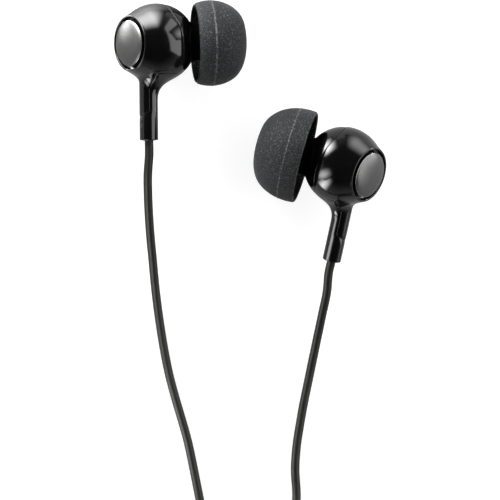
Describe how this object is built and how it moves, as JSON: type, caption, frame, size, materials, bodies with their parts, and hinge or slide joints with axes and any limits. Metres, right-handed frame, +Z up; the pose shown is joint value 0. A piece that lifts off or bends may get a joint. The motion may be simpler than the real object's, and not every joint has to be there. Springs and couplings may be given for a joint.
{
  "type": "wired earphones",
  "caption": "Wired in-ear earphones with glossy ball earpieces, silicone tips, thin branch cords, a Y-split and a coiled main cord ending in a stereo plug.",
  "frame": {"origin": "on the table, under the middle of the box round the two earpieces", "axes": "+Z up from the table; +X from the left earpiece to the right one; -Y the way the cords run"},
  "size_m": [0.0457, 0.1648, 0.0143],
  "materials": {
    "housing": "polished injection-moulded ABS",
    "silicone": "matte moulded silicone",
    "cord_jacket": "satin TPE jacket",
    "soft_plastic": "matte moulded TPE",
    "steel": "pressed and turned steel",
    "magnet": "nickel plated",
    "contact": "nickel plated brass",
    "copper": "enamelled copper wire",
    "film": "thin polyester film",
    "frame_plastic": "moulded",
    "insulator": "moulded",
    "foam": "open-cell foam",
    "board": "solder-masked board",
    "paper": "fibrous paper"
  },
  "bodies": {
    "earphones": {"left_front_housing": "housing", "left_rear_housing": "housing", "left_rear_cap": "housing", "left_nozzle_mesh": "steel", "left_damper": "foam", "left_gasket": "foam", "left_driver_cover": "steel", "left_surround": "film", "left_top_plate": "steel", "left_magnet": "magnet", "left_yoke": "steel", "left_driver_frame": "frame_plastic", "left_vent_paper": "paper", "left_terminal_board": "board", "left_wires": "copper", "left_cord_clamp": "magnet", "left_inner_cord": "cord_jacket", "left_bushing": "soft_plastic", "right_front_housing": "housing", "right_rear_housing": "housing", "right_rear_cap": "housing", "right_nozzle_mesh": "steel", "right_damper": "foam", "right_gasket": "foam", "right_driver_cover": "steel", "right_surround": "film", "right_top_plate": "steel", "right_magnet": "magnet", "right_yoke": "steel", "right_driver_frame": "frame_plastic", "right_vent_paper": "paper", "right_terminal_board": "board", "right_wires": "copper", "right_cord_clamp": "magnet", "right_inner_cord": "cord_jacket", "right_bushing": "soft_plastic", "left_cord": "cord_jacket", "left_coil": "cord_jacket", "left_lead": "cord_jacket", "right_cord": "cord_jacket", "right_coil": "cord_jacket", "right_lead": "cord_jacket", "y_split": "housing", "main_cord": "cord_jacket", "main_coil": "cord_jacket", "plug_lead": "cord_jacket", "coil_ties": "paper", "plug_relief": "soft_plastic", "plug_grip": "housing", "plug_sleeve": "contact", "plug_ring": "contact", "plug_tip": "contact", "plug_insulators": "insulator"},
    "left_tip": {"left_eartip": "silicone"},
    "right_tip": {"right_eartip": "silicone"},
    "left_moving_coil": {"left_diaphragm": "film", "left_voice_coil": "copper"},
    "right_moving_coil": {"right_diaphragm": "film", "right_voice_coil": "copper"}
  },
  "joints": [
    {"name": "left_tip_pull", "type": "slide", "parent": "earphones", "child": "left_tip", "axis": [0.9887, 0.0345, -0.1461], "range_m": [0, 0.005]},
    {"name": "right_tip_pull", "type": "slide", "parent": "earphones", "child": "right_tip", "axis": [-0.9607, 0.2592, -0.0993], "range_m": [0, 0.005]},
    {"name": "left_diaphragm_travel", "type": "slide", "parent": "earphones", "child": "left_moving_coil", "axis": [0.9887, 0.0345, -0.1461], "range_m": [-0.00015, 0.00015], "stiffness_N_per_m": 16},
    {"name": "right_diaphragm_travel", "type": "slide", "parent": "earphones", "child": "right_moving_coil", "axis": [-0.9607, 0.2592, -0.0993], "range_m": [-0.00015, 0.00015], "stiffness_N_per_m": 16}
  ]
}
